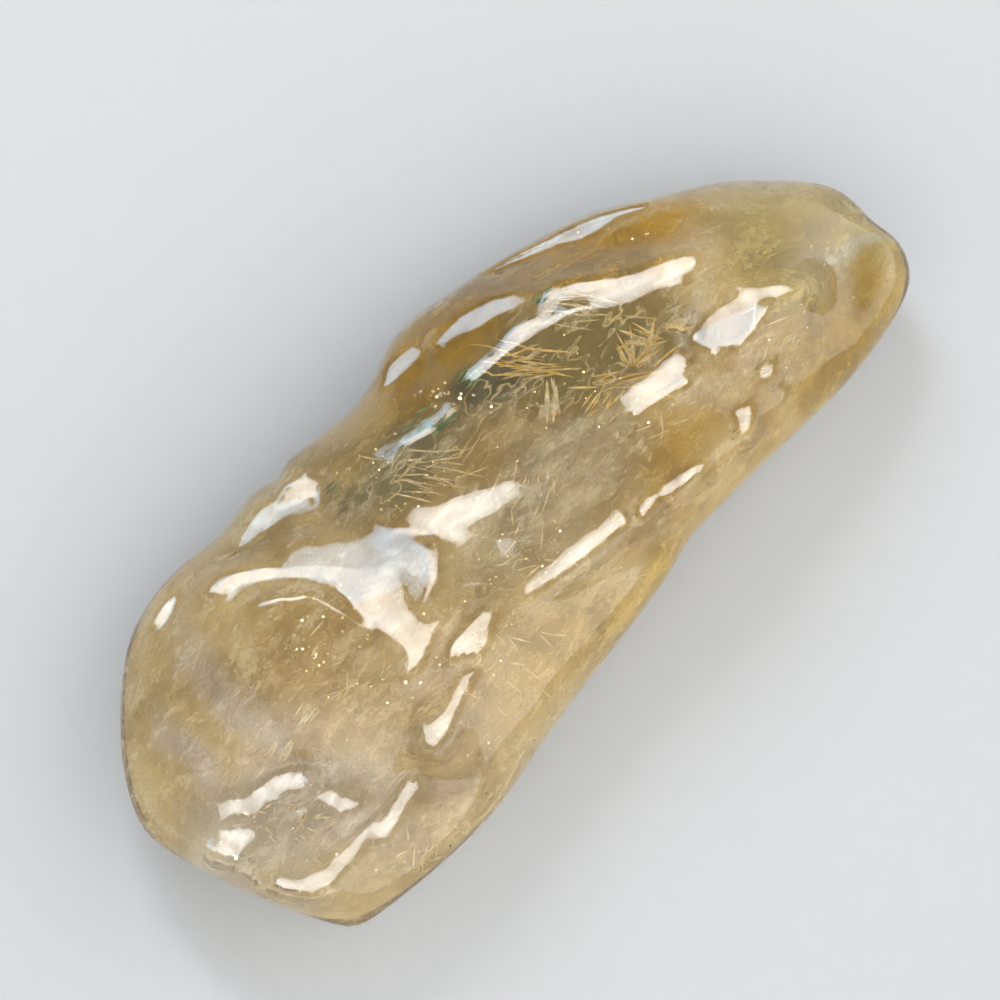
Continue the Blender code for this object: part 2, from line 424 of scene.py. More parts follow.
@dataclass(frozen=True)
class Region:
    """A part of the stone as the photograph shows it: an ellipse in its pixels, right through the depth."""

    column: float
    row: float
    half_length: float
    half_width: float
    turn_deg: float
    colour: str
    strength: float = 1.0
    # How much of the ellipse, from its edge inwards, is a soft border.
    border: float = 0.55

    def share(self, columns: np.ndarray, rows: np.ndarray) -> np.ndarray:
        """Tells how much places belong to the region.

        Args:
            columns: The places' pixel columns.
            rows: Their pixel rows.

        Returns:
            Its strength well inside the region, falling to 0 at the ellipse.
        """
        turn = math.radians(self.turn_deg)
        over, up = columns - self.column, self.row - rows
        along = (over * math.cos(turn) + up * math.sin(turn)) / self.half_length
        across = (up * math.cos(turn) - over * math.sin(turn)) / self.half_width
        inside = np.clip((1.0 - np.hypot(along, across)) / self.border, 0.0, 1.0)
        return self.strength * inside * inside * (3.0 - 2.0 * inside)


# The windows are the clear parts; their dark colours are painted shade, the dark that shows through clear quartz.
# The zones are the stone's stains, each as it shows through the polish, with some painted highlights and painted
# shade among them.
CLEAR_WINDOWS_PAINTED_DARK = (
    Region(585, 362, 150, 62, 20, "#645A36"),
    Region(405, 478, 105, 50, 36, "#5A563E"),
    Region(490, 400, 60, 34, 40, "#3C3B2C"),
)
FROSTED = Region(298, 812, 130, 74, 20, "#E0D0BC", 0.9)
STAINS_AND_PAINTED_LIGHT = (
    # The two golden-brown bands along the upper rim are partly stain and partly painted shade: the deeper colour of
    # light kept inside the steep rim.
    Region(600, 256, 140, 40, 15, "#B07C14"),
    Region(440, 362, 160, 54, 45, "#9A7018"),
    Region(350, 440, 90, 40, 40, "#AE9058", 0.8),
    Region(590, 440, 110, 34, 38, "#F2DAA2"),
    Region(645, 475, 170, 46, 41, "#A8823A", 0.9),
    Region(520, 640, 120, 80, 45, "#CEA660", 0.85),
    Region(745, 495, 320, 50, 50, "#CC9C42", 0.95),
    Region(810, 250, 130, 80, 5, "#BCA460", 0.9),
    Region(840, 325, 110, 60, 55, "#9A7830", 0.95),
    Region(350, 765, 250, 150, 30, "#DAB888", 0.8),
    Region(545, 515, 150, 80, 45, "#F4DEB0", 0.9),
    # Painted highlights: two pale bands on the foot, where the fill softbox is mirrored.
    Region(232, 690, 95, 27, -43, "#EED8C8"),
    Region(196, 752, 75, 24, -52, "#EED8C8"),
    # Painted highlight: a pale streak by the tip, where the fill softbox is mirrored.
    Region(850, 252, 50, 16, 25, "#DAD6B4"),
    FROSTED,
)


@dataclass
class GroundFace:
    """The ground upper face: heights that turn each plane the way it mirrors its softbox.

    The heights are those whose slopes come nearest to the wanted ones over the whole face. They are found
    on a raster of the plan by successive over-relaxation, in rounds. Each round also turns the ground
    between the planes away from the softboxes, so that it stays dark as in the photograph.
    """

    step_mm: float = 0.2
    half_length_mm: float = 32.0
    half_width_mm: float = 14.0
    # How firmly a plane keeps its slope against the ground round it, and how far it lifts that ground.
    plane_weight: float = 300.0
    room_weight: float = 200.0
    reach_mm: float = 4.0
    # Slope by which a plane may stay short of what it mirrors, so that it needs less grinding.
    slack: float = 0.03
    # What a plane that mirrors the room turns to, from the key softbox's slope towards the camera's own.
    towards_camera: float = 0.36
    # Slope that the other ground keeps from a softbox's own, how firmly, and over how many blurs it is read.
    clearance: float = 0.14
    clear_weight: float = 8.0
    blurs: int = 10
    rounds: int = 8
    turns: int = 120
    hurry: float = 1.9
    # The grinding dies out towards the rim, and nothing is cleared lower than the second height.
    rim_mm: float = 2.0
    clear_from_mm: float = 0.8
    # What the polish leaves uneven, as the size and height of its waves, and the curls of the frosted foot.
    waves_mm: tuple[float, float] = (1.4, 0.03)
    curls_mm: tuple[float, float] = (0.9, 0.07)
    heights: np.ndarray = field(init=False)

    def raster(self) -> tuple[np.ndarray, np.ndarray]:
        """The raster's plan places.

        Returns:
            Places along the stone and across it, in millimetres.
        """
        x = np.arange(-self.half_length_mm, self.half_length_mm + self.step_mm / 2, self.step_mm)
        y = np.arange(-self.half_width_mm, self.half_width_mm + self.step_mm / 2, self.step_mm)
        return np.meshgrid(x, y, indexing="ij")

    def measure(self, piece: bpy.types.Object) -> np.ndarray:
        """Measures the upper face's height over the widest plane.

        Args:
            piece: The stone before it is ground.

        Returns:
            Heights on the raster in millimetres, 0 outside the stone.
        """
        mesh = piece.data
        tree = BVHTree.FromPolygons([v.co[:] for v in mesh.vertices], [p.vertices[:] for p in mesh.polygons])
        lean = Vector((*LEAN, 1.0))
        start = lean * 20.0
        x, y = self.raster()
        heights = np.zeros(x.shape)
        for index in np.ndindex(x.shape):
            base = Vector((x[index], y[index], WIDEST_Z))
            hit = tree.ray_cast((base + start) * MM, -lean.normalized(), start.length * MM)
            if hit[0] is not None:
                heights[index] = hit[0].z / MM - WIDEST_Z
        return heights

    def mirror_slopes(self, source: np.ndarray, distance_mm: float,
                      form: np.ndarray) -> tuple[np.ndarray, np.ndarray]:
        """Finds the slopes that mirror a source to the camera, at each place of the upper face.

        Args:
            source: The direction from the stone's middle to the source.
            distance_mm: How far away the source is.
            form: The face's heights on the raster.

        Returns:
            The height's slopes along the stone and across it.
        """
        x, y = self.raster()
        places = np.stack([x + LEAN[0] * form, y + LEAN[1] * form, WIDEST_Z + form], axis=-1)
        facing = np.zeros_like(places)
        for direction, distance in ((VIEW.back, VIEW.distance_mm), (source, distance_mm)):
            way = VIEW.middle + direction * distance - places
            facing += way / np.linalg.norm(way, axis=-1, keepdims=True)
        scale = 1 / (facing[..., 2] + LEAN[0] * facing[..., 0] + LEAN[1] * facing[..., 1])
        return -facing[..., 0] * scale, -facing[..., 1] * scale

    def aims(self, form: np.ndarray) -> dict[Aim, tuple[np.ndarray, np.ndarray]]:
        """Finds the slopes that the planes of each aim turn to.

        Args:
            form: The face's heights on the raster.

        Returns:
            Slopes along the stone and across it, by aim.
        """
        slopes = {aim: self.mirror_slopes(box.direction(VIEW), box.distance_mm, form)
                  for aim, box in SOFTBOXES.items()}
        camera = self.mirror_slopes(VIEW.back, VIEW.distance_mm, form)
        slopes[Aim.ROOM] = tuple(key + (own - key) * self.towards_camera
                                 for key, own in zip(slopes[Aim.KEY], camera))
        return slopes

    def within(self, corners: PATCH) -> np.ndarray:
        """Marks the raster's places inside a patch of the photograph.

        Args:
            corners: The patch's corners in pixels.

        Returns:
            True where a place is inside.
        """
        column, row = VIEW.pixels(*self.raster())
        inside = np.zeros(column.shape, bool)
        for (x0, y0), (x1, y1) in zip(corners, corners[1:] + corners[:1]):
            if y0 != y1:
                crosses = (row > y0) != (row > y1)
                inside ^= crosses & (column < x0 + (row - y0) * (x1 - x0) / (y1 - y0))
        return inside

    def mark(self, aim: Aim) -> np.ndarray:
        """Marks all planes of an aim, those of the key softbox a step wider so that they read.

        Args:
            aim: What the planes mirror.

        Returns:
            True where such a plane is.
        """
        inside = np.any([self.within(corners) for own, corners in GROUND_PLANES.values() if own is aim], axis=0)
        if aim is Aim.KEY:
            wider = inside.copy()
            for axis in (0, 1):
                for step in (-1, 1):
                    wider |= np.roll(inside, step, axis)
            inside = wider
        return inside

    def soften(self, values: np.ndarray) -> np.ndarray:
        """Blurs values on the raster.

        Args:
            values: The values.

        Returns:
            The blurred values.
        """
        for _ in range(self.blurs):
            near = np.pad(values, 1, mode="edge")
            values = (4 * values + near[:-2, 1:-1] + near[2:, 1:-1] + near[1:-1, :-2] + near[1:-1, 2:]) / 8
        return values

    def relax(self, heights: np.ndarray, rise_x: np.ndarray, rise_y: np.ndarray,
              weight: np.ndarray) -> np.ndarray:
        """Brings the heights nearer to the wanted slopes.

        Args:
            heights: Heights to start from.
            rise_x: Wanted slopes along the stone.
            rise_y: Wanted slopes across it.
            weight: How much each place's slopes count.

        Returns:
            Heights in millimetres.
        """
        wx, wy = (weight[1:] + weight[:-1]) / 2, (weight[:, 1:] + weight[:, :-1]) / 2
        sx = wx * (rise_x[1:] + rise_x[:-1]) / 2 * self.step_mm
        sy = wy * (rise_y[:, 1:] + rise_y[:, :-1]) / 2 * self.step_mm
        source = np.zeros_like(weight)
        total = np.full_like(weight, (self.step_mm / self.reach_mm) ** 2)
        source[1:] += sx
        source[:-1] -= sx
        source[:, 1:] += sy
        source[:, :-1] -= sy
        total[1:] += wx
        total[:-1] += wx
        total[:, 1:] += wy
        total[:, :-1] += wy
        even = np.indices(weight.shape).sum(axis=0) % 2 == 0
        for _ in range(self.turns):
            for half in (even, ~even):
                pull = source.copy()
                pull[1:] += wx * heights[:-1]
                pull[:-1] += wx * heights[1:]
                pull[:, 1:] += wy * heights[:, :-1]
                pull[:, :-1] += wy * heights[:, 1:]
                heights = np.where(half, heights + self.hurry * (pull / total - heights), heights)
        return heights

    def plan_cuts(self, piece: bpy.types.Object) -> None:
        """Works out how much each place is ground away or left standing.

        Args:
            piece: The stone before it is ground.
        """
        form = self.measure(piece)
        form_x, form_y = np.gradient(form, self.step_mm)
        # Where planes overlap, the later aim counts.
        marks = {aim: self.mark(aim) for aim in Aim}
        aims = self.aims(form)
        plain = ~np.any(list(marks.values()), axis=0) & (form > self.clear_from_mm)
        heights = np.zeros_like(form)
        for _ in range(self.rounds):
            cut_x, cut_y = np.gradient(heights, self.step_mm)
            now_x, now_y = self.soften(form_x + cut_x), self.soften(form_y + cut_y)
            rise_x, rise_y, weight = np.zeros_like(form), np.zeros_like(form), np.ones_like(form)
            for softbox in SOFTBOXES:
                to_x, to_y = aims[softbox]
                off = np.hypot(now_x - to_x, now_y - to_y)
                turned = plain & (off < self.clearance)
                push = self.clearance / np.maximum(off, 0.01)
                rise_x = np.where(turned, to_x + (now_x - to_x) * push - form_x, rise_x)
                rise_y = np.where(turned, to_y + (now_y - to_y) * push - form_y, rise_y)
                weight = np.where(turned, self.clear_weight, weight)
            for aim, inside in marks.items():
                to_x, to_y = aims[aim]
                off_x, off_y = form_x - to_x, form_y - to_y
                kept = np.minimum(1.0, self.slack / np.maximum(np.hypot(off_x, off_y), 1e-9))
                rise_x = np.where(inside, to_x + off_x * kept - form_x, rise_x)
                rise_y = np.where(inside, to_y + off_y * kept - form_y, rise_y)
                firmness = self.room_weight if aim is Aim.ROOM else self.plane_weight
                weight = np.where(inside, firmness, weight)
            heights = self.relax(heights, rise_x, rise_y, weight)
        self.heights = heights

    def unevenness(self, points: np.ndarray, plan: np.ndarray) -> np.ndarray:
        """Finds the small waves that the polish leaves, which break the outlines of what is mirrored.

        Args:
            points: The stone's points in millimetres.
            plan: The same points on the plan, without the stone's lean.

        Returns:
            Heights in millimetres.
        """
        heights = np.zeros(len(points))
        for (size, height), share in ((self.waves_mm, 1.0), (self.curls_mm, FROSTED.share(*VIEW.pixels(*plan)))):
            heights += np.array([noise.noise(Vector(point) / size) for point in points]) * height * share
        return heights

    def cut(self, points: np.ndarray) -> np.ndarray:
        """Moves the points of the upper face by the planned heights.

        Args:
            points: The stone's points in millimetres.

        Returns:
            The moved points.
        """
        over = points[:, 2] - WIDEST_Z
        plan = points[:, 0] - LEAN[0] * over, points[:, 1] - LEAN[1] * over
        column = (plan[0] + self.half_length_mm) / self.step_mm
        row = (plan[1] + self.half_width_mm) / self.step_mm
        i = np.clip(column.astype(int), 0, self.heights.shape[0] - 2)
        j = np.clip(row.astype(int), 0, self.heights.shape[1] - 2)
        u, v = column - i, row - j
        added = ((self.heights[i, j] * (1 - u) + self.heights[i + 1, j] * u) * (1 - v)
                 + (self.heights[i, j + 1] * (1 - u) + self.heights[i + 1, j + 1] * u) * v)
        added += self.unevenness(points, plan)
        added *= np.clip(over / self.rim_mm, 0.0, 1.0)
        return points + added[:, None] * np.array([*LEAN, 1.0])


@dataclass(frozen=True)
class PolishedQuartz:
    """Quartz, tumbled and polished to a wet gloss: crisp mirrors over a clear, olive-yellow depth."""

    name: str = "polished_clear_quartz"
    ior: float = 1.545
    tint: str = "#FDF8E8"
    depth_colour: tuple[str, float] = ("#EBC866", 48.0)
    # Fine wear of the polish, as roughness, and how large its patches are.
    polish: tuple[float, float] = (0.015, 0.05)
    wear_mm: float = 0.8

    def make(self) -> bpy.types.Material:
        """Builds the material.

        Returns:
            The material.
        """
        material, tree, output = new_material(self.name)
        place = add_node(tree, "ShaderNodeTexCoord").outputs["Object"]
        wear = add_node(tree, "ShaderNodeTexNoise", {"Scale": 1 / (self.wear_mm * MM), "Detail": 1.0},
                        {"Vector": place})
        rough = add_node(tree, "ShaderNodeMapRange",
                         {"From Min": 0.4, "From Max": 0.8, "To Min": self.polish[0], "To Max": self.polish[1]},
                         {0: wear.outputs[0]})
        shader = add_node(tree, "ShaderNodeBsdfPrincipled",
                          {"IOR": self.ior, "Transmission Weight": 1.0, "Base Color": linear(self.tint)},
                          {"Roughness": rough.outputs[0]})
        depth = add_node(tree, "ShaderNodeVolumeAbsorption",
                         {"Color": linear(self.depth_colour[0]), "Density": self.depth_colour[1]})
        tree.links.new(shader.outputs[0], output.inputs["Surface"])
        tree.links.new(depth.outputs[0], output.inputs["Volume"])
        return material


@dataclass
class StoneBody:
    """The stone itself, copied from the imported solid, subdivided, ground and polished."""

    name: str = "prasiolite_stone"
    merge_mm: float = 0.002
    levels: int = 2
    face: GroundFace = field(default_factory=GroundFace)
    finish: PolishedQuartz = field(default_factory=PolishedQuartz)

    def copy_solid(self) -> bpy.types.Object:
        """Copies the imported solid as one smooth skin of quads.

        Returns:
            The copy.
        """
        deselect_all()
        solid = frame["nodes"][NODE]
        solid.select_set(True)
        bpy.context.view_layer.objects.active = solid
        bpy.ops.object.duplicate()
        copy = bpy.context.view_layer.objects.active
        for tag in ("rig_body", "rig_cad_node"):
            if tag in copy:
                del copy[tag]
        copy.parent = None
        bpy.ops.object.mode_set(mode="EDIT")
        bpy.ops.mesh.select_all(action="SELECT")
        bpy.ops.mesh.remove_doubles(threshold=self.merge_mm * MM)
        bpy.ops.mesh.tris_convert_to_quads(face_threshold=math.radians(40), shape_threshold=math.radians(40))
        bpy.ops.object.mode_set(mode="OBJECT")
        smoother = copy.modifiers.new("smooth", "SUBSURF")
        smoother.levels = smoother.render_levels = self.levels
        bpy.ops.object.modifier_apply(modifier=smoother.name)
        return copy

    def build(self) -> bpy.types.Object:
        """Makes, grinds and dresses the stone.

        Returns:
            The finished stone.
        """
        stone = self.copy_solid()
        self.face.plan_cuts(stone)
        mesh = stone.data
        flat = np.empty(len(mesh.vertices) * 3)
        mesh.vertices.foreach_get("co", flat)
        points = self.face.cut(flat.reshape(-1, 3) / MM)
        mesh.vertices.foreach_set("co", (points * MM).ravel())
        mesh.update()
        mesh.materials.clear()
        mesh.materials.append(self.finish.make())
        mesh.shade_smooth()
        settle_object(stone, self.name)
        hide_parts(NODE)
        return stone


@dataclass(frozen=True)
class Haze:
    """Haze in quartz: sheets of tiny fluid drops where a crack has healed, milky and a little stained."""

    name: str
    # Size of the clouds, and how they are drawn out and turned on the plan.
    cloud_mm: float
    stretch: tuple[float, float, float] = (1.0, 1.0, 1.0)
    turn_deg: float = 0.0
    detail: float = 5.0
    harshness: float = 0.7
    # Noise values at which a cloud begins and is full, and how opaque it is there.
    begins: float = 0.4
    full: float = 0.65
    thin: float = 0.2
    dense: float = 0.8
    # In the windows the noise must be higher by this much, and the least opacity there is this: a veil of painted
    # shade that shows the windows' dark colour, standing for the dark seen through clear quartz.
    window_thinning: float = 0.0
    painted_dark_cover: float = 0.0
    # Curled threads of drops run where a second noise is near its middle: their spacing, how they are
    # drawn out, how near the noise must be, and how opaque they are outside and inside the windows.
    thread_mm: float = 1.7
    thread_stretch: tuple[float, float, float] = (0.45, 1.0, 1.0)
    thread_reach: float = 0.022
    threads: tuple[float, float] = (0.0, 0.0)
    pale: str = "#C6B98E"
    deep: str = "#A8966A"

    def add_threads(self, tree: bpy.types.NodeTree, metres: bpy.types.NodeSocket,
                    window: bpy.types.NodeSocket) -> bpy.types.NodeSocket:
        """Adds the curled threads.

        Args:
            tree: The material's node tree.
            metres: The place on the object.
            window: How much the place belongs to a window.

        Returns:
            The threads' opacity.
        """
        drawn = add_node(tree, "ShaderNodeMapping", {
            "Rotation": (0.0, 0.0, math.radians(-self.turn_deg)),
            "Scale": tuple(share / MM for share in self.thread_stretch)}, {"Vector": metres})
        waves = add_node(tree, "ShaderNodeTexNoise", {"Scale": 1 / self.thread_mm, "Detail": 2.0, "Roughness": 0.6},
                         {"Vector": drawn.outputs[0]})
        off = add_node(tree, "ShaderNodeMath", {"operation": "SUBTRACT", 1: 0.5}, {0: waves.outputs["Fac"]})
        apart = add_node(tree, "ShaderNodeMath", {"operation": "ABSOLUTE"}, {0: off.outputs[0]})
        strength = add_node(tree, "ShaderNodeMapRange", {"To Min": self.threads[0], "To Max": self.threads[1]},
                            {"Value": window})
        return add_node(tree, "ShaderNodeMapRange", {"From Max": self.thread_reach, "To Max": 0.0},
                        {"Value": apart.outputs[0], "To Min": strength.outputs[0]}).outputs[0]

    def make(self) -> bpy.types.Material:
        """Builds the material.

        Returns:
            The material.
        """
        material, tree, output = new_material(self.name)
        metres = add_node(tree, "ShaderNodeTexCoord").outputs["Object"]
        drawn = add_node(tree, "ShaderNodeMapping", {
            "Rotation": (0.0, 0.0, math.radians(-self.turn_deg)),
            "Scale": tuple(share / MM for share in self.stretch)}, {"Vector": metres})
        cloud = add_node(tree, "ShaderNodeTexNoise",
                         {"Scale": 1 / self.cloud_mm, "Detail": self.detail, "Roughness": self.harshness},
                         {"Vector": drawn.outputs[0]}).outputs["Fac"]
        window = add_node(tree, "ShaderNodeAttribute", {"attribute_name": InnerLayer.window}).outputs["Fac"]
        sparse = add_node(tree, "ShaderNodeMath", {"operation": "MULTIPLY_ADD", 1: -self.window_thinning},
                          {0: window, 2: cloud})
        cover = add_node(tree, "ShaderNodeMapRange", {
            "interpolation_type": "SMOOTHSTEP", "From Min": self.begins, "From Max": self.full,
            "To Min": self.thin, "To Max": self.dense}, {"Value": sparse.outputs[0]})
        plain = add_node(tree, "ShaderNodeValToRGB",
                         {"stops": [(0.35, under_polish(self.deep)), (0.65, under_polish(self.pale))]},
                         {0: cloud})
        # The zone colours are stains, with painted highlights and painted shade among them.
        zone = add_node(tree, "ShaderNodeAttribute", {"attribute_name": InnerLayer.stain})
        colour = add_node(tree, "ShaderNodeMix", {"data_type": "RGBA"},
                          {0: zone.outputs["Alpha"], 6: plain.outputs[0], 7: zone.outputs["Color"]})
        # Painted shade: in the windows an opaque veil shows the windows' painted dark colour.
        painted_dark_veil = add_node(tree, "ShaderNodeMath", {"operation": "MULTIPLY", 1: self.painted_dark_cover}, {0: window})
        opacity = add_node(tree, "ShaderNodeMath", {"operation": "MAXIMUM"},
                           {0: cover.outputs[0], 1: painted_dark_veil.outputs[0]})
        if any(self.threads):
            opacity = add_node(tree, "ShaderNodeMath", {"operation": "MAXIMUM"},
                               {0: opacity.outputs[0], 1: self.add_threads(tree, metres, window)})
        dust = add_node(tree, "ShaderNodeBsdfPrincipled", {"Roughness": 0.7, "Specular IOR Level": 0.0},
                        {"Base Color": colour.outputs[2]})
        clear = add_node(tree, "ShaderNodeBsdfTransparent")
        mixed = add_node(tree, "ShaderNodeMixShader", {},
                         {0: opacity.outputs[0], 1: clear.outputs[0], 2: dust.outputs[0]})
        tree.links.new(mixed.outputs[0], output.inputs["Surface"])
        return material


@dataclass
class InnerLayer:
    """A sheet of haze inside the stone that follows its form some way under the surface."""

    name: str
    inset_mm: float
    flatten: float
    finish: Haze
    # Whether the windows lay their dark colours, painted shade for the dark that shows through clear quartz, on it
    # as well.
    painted_dark_windows: bool = False
    # The borders of the regions wander by about this much, in waves of the second size.
    wander_mm: float = 1.6
    wave_mm: float = 3.0
    stain: ClassVar[str] = "stain"
    window: ClassVar[str] = "window"

    def shrink(self, stone: bpy.types.Object) -> bpy.types.Object:
        """Copies the ground stone, coarser, and draws it inwards.

        Args:
            stone: The finished stone.

        Returns:
            The layer without a finish.
        """
        deselect_all()
        stone.select_set(True)
        bpy.context.view_layer.objects.active = stone
        bpy.ops.object.duplicate()
        layer = bpy.context.view_layer.objects.active
        thinner = layer.modifiers.new("thin", "DECIMATE")
        thinner.decimate_type = "UNSUBDIV"
        thinner.iterations = 2
        bpy.ops.object.modifier_apply(modifier=thinner.name)
        bpy.ops.object.mode_set(mode="EDIT")
        bpy.ops.mesh.select_all(action="SELECT")
        bpy.ops.transform.shrink_fatten(value=-self.inset_mm * MM)
        bpy.ops.object.mode_set(mode="OBJECT")
        for vertex in layer.data.vertices:
            over = vertex.co.z / MM - WIDEST_Z
            vertex.co += Vector((*LEAN, 1.0)) * (self.flatten - 1.0) * over * MM
        return layer

    def paint_stains_and_light(self, layer: bpy.types.Object) -> None:
        """Gives every point its share of the windows and of the coloured zones, painted highlights and painted
        shade among them.

        Args:
            layer: The shrunken layer.
        """
        mesh = layer.data
        points = np.array([vertex.co[:] for vertex in mesh.vertices]) / MM
        sway = np.array([noise.noise_vector(Vector(point) / self.wave_mm)[:] for point in points])
        plan = points[:, :2] - np.outer(points[:, 2] - WIDEST_Z, LEAN) + sway[:, :2] * self.wander_mm
        column, row = VIEW.pixels(plan[:, 0], plan[:, 1])
        colour, covered = np.zeros((len(points), 3)), np.zeros(len(points))
        # Stains and painted light from the zones, and the windows' painted shade where they are laid on.
        for region in STAINS_AND_PAINTED_LIGHT + (CLEAR_WINDOWS_PAINTED_DARK if self.painted_dark_windows else ()):
            share = region.share(column, row)
            total = covered + share - covered * share
            blend = np.divide(share, total, out=np.zeros_like(share), where=total > 0)[:, None]
            colour = colour * (1 - blend) + np.array(under_polish(region.colour)[:3]) * blend
            covered = total
        clear = 1.0 - np.prod([1.0 - region.share(column, row) for region in CLEAR_WINDOWS_PAINTED_DARK], axis=0)
        stain = mesh.attributes.new(self.stain, "FLOAT_COLOR", "POINT")
        stain.data.foreach_set("color", np.column_stack([colour, covered]).ravel())
        window = mesh.attributes.new(self.window, "FLOAT", "POINT")
        window.data.foreach_set("value", clear)

    def build(self, stone: bpy.types.Object) -> bpy.types.Object:
        """Makes and dresses the layer.

        Args:
            stone: The finished stone.

        Returns:
            The layer.
        """
        layer = self.shrink(stone)
        self.paint_stains_and_light(layer)
        layer.data.materials.clear()
        layer.data.materials.append(self.finish.make())
        return settle_object(layer, self.name)


# Both layers carry the zones' painted highlights and painted shade; the heart also carries the windows' painted
# dark.
INNER_LAYERS = (
    InnerLayer("milky_haze", 0.22, 0.95, Haze(
        "milky_healed_cracks", cloud_mm=2.4, stretch=(0.5, 1.0, 1.0), turn_deg=-20.0, detail=4.0,
        harshness=0.9, begins=0.43, full=0.63, thin=0.04, dense=0.46, window_thinning=0.07,
        threads=(0.25, 0.62), pale="#E6CC9C", deep="#C29C5C")),
    InnerLayer("stained_heart", 0.9, 0.6, Haze(
        "iron_stained_haze", cloud_mm=6.0, detail=2.0, harshness=0.6, begins=0.36, full=0.66, thin=0.28,
        dense=0.66, painted_dark_cover=0.8, pale="#D4B680", deep="#BE9858"), painted_dark_windows=True),
)


@dataclass
class Depths:
    """Finds places inside the stone, by what the photograph shows and the depth under the polish."""

    stone: bpy.types.Object
    margin_mm: float = 0.2
    tree: BVHTree = field(init=False)

    def __post_init__(self) -> None:
        """Reads the stone's faces."""
        mesh = self.stone.data
        self.tree = BVHTree.FromPolygons([v.co[:] for v in mesh.vertices], [p.vertices[:] for p in mesh.polygons])

    def under(self, column: float, row: float, depth_mm: float) -> Vector | None:
        """Finds the place at a depth under the upper face.

        Args:
            column: The pixel's column.
            row: The pixel's row.
            depth_mm: The depth under the face, along the stone's lean.

        Returns:
            The place in millimetres, or None where the stone is too thin for it.
        """
        lean = Vector((*LEAN, 1.0))
        base = VIEW.place(column, row, WIDEST_Z)
        hit = self.tree.ray_cast((base + lean * 20.0) * MM, -lean.normalized())
        over = hit[0].z / MM - WIDEST_Z if hit[0] is not None else 0.0
        return base + lean * (over - depth_mm) if over > depth_mm + self.margin_mm else None


@dataclass(frozen=True)
class CrystalGlint:
    """A small crystal or open crack in quartz: its glassy skin throws back much of the light that meets it."""

    name: str
    pale: str
    deep: str
    grain_mm: float = 0.6
    roughness: tuple[float, float] = (0.15, 0.35)
    # An open crack mirrors all the light that meets it from inside the quartz, as a metal does.
    mirroring: float = 0.0

    def make(self) -> bpy.types.Material:
        """Builds the material.

        Returns:
            The material.
        """
        material, tree, output = new_material(self.name)
        metres = add_node(tree, "ShaderNodeTexCoord").outputs["Object"]
        grain = add_node(tree, "ShaderNodeTexNoise", {"Scale": 1 / (self.grain_mm * MM), "Detail": 2.0},
                         {"Vector": metres})
        colour = add_node(tree, "ShaderNodeValToRGB",
                          {"stops": [(0.35, linear(self.deep)), (0.65, linear(self.pale))]},
                          {0: grain.outputs["Fac"]})
        rough = add_node(tree, "ShaderNodeMapRange",
                         {"To Min": self.roughness[0], "To Max": self.roughness[1]},
                         {"Value": grain.outputs["Fac"]})
        shader = add_node(tree, "ShaderNodeBsdfPrincipled", {"IOR": 1.6, "Metallic": self.mirroring},
                          {"Base Color": colour.outputs[0], "Roughness": rough.outputs[0]})
        tree.links.new(shader.outputs[0], output.inputs["Surface"])
        return material


@dataclass(frozen=True)
class Fan:
    """A fan of needles as the photograph shows it, in its pixels, with the angle of its middle needle."""

    column: float
    row: float
    turn_deg: float
    spread_deg: float
    count: int
    length: tuple[float, float]
    width: float
    depth_mm: float
    # How far the roots of the needles lie from the fan's own root.
    scatter: float = 6.0


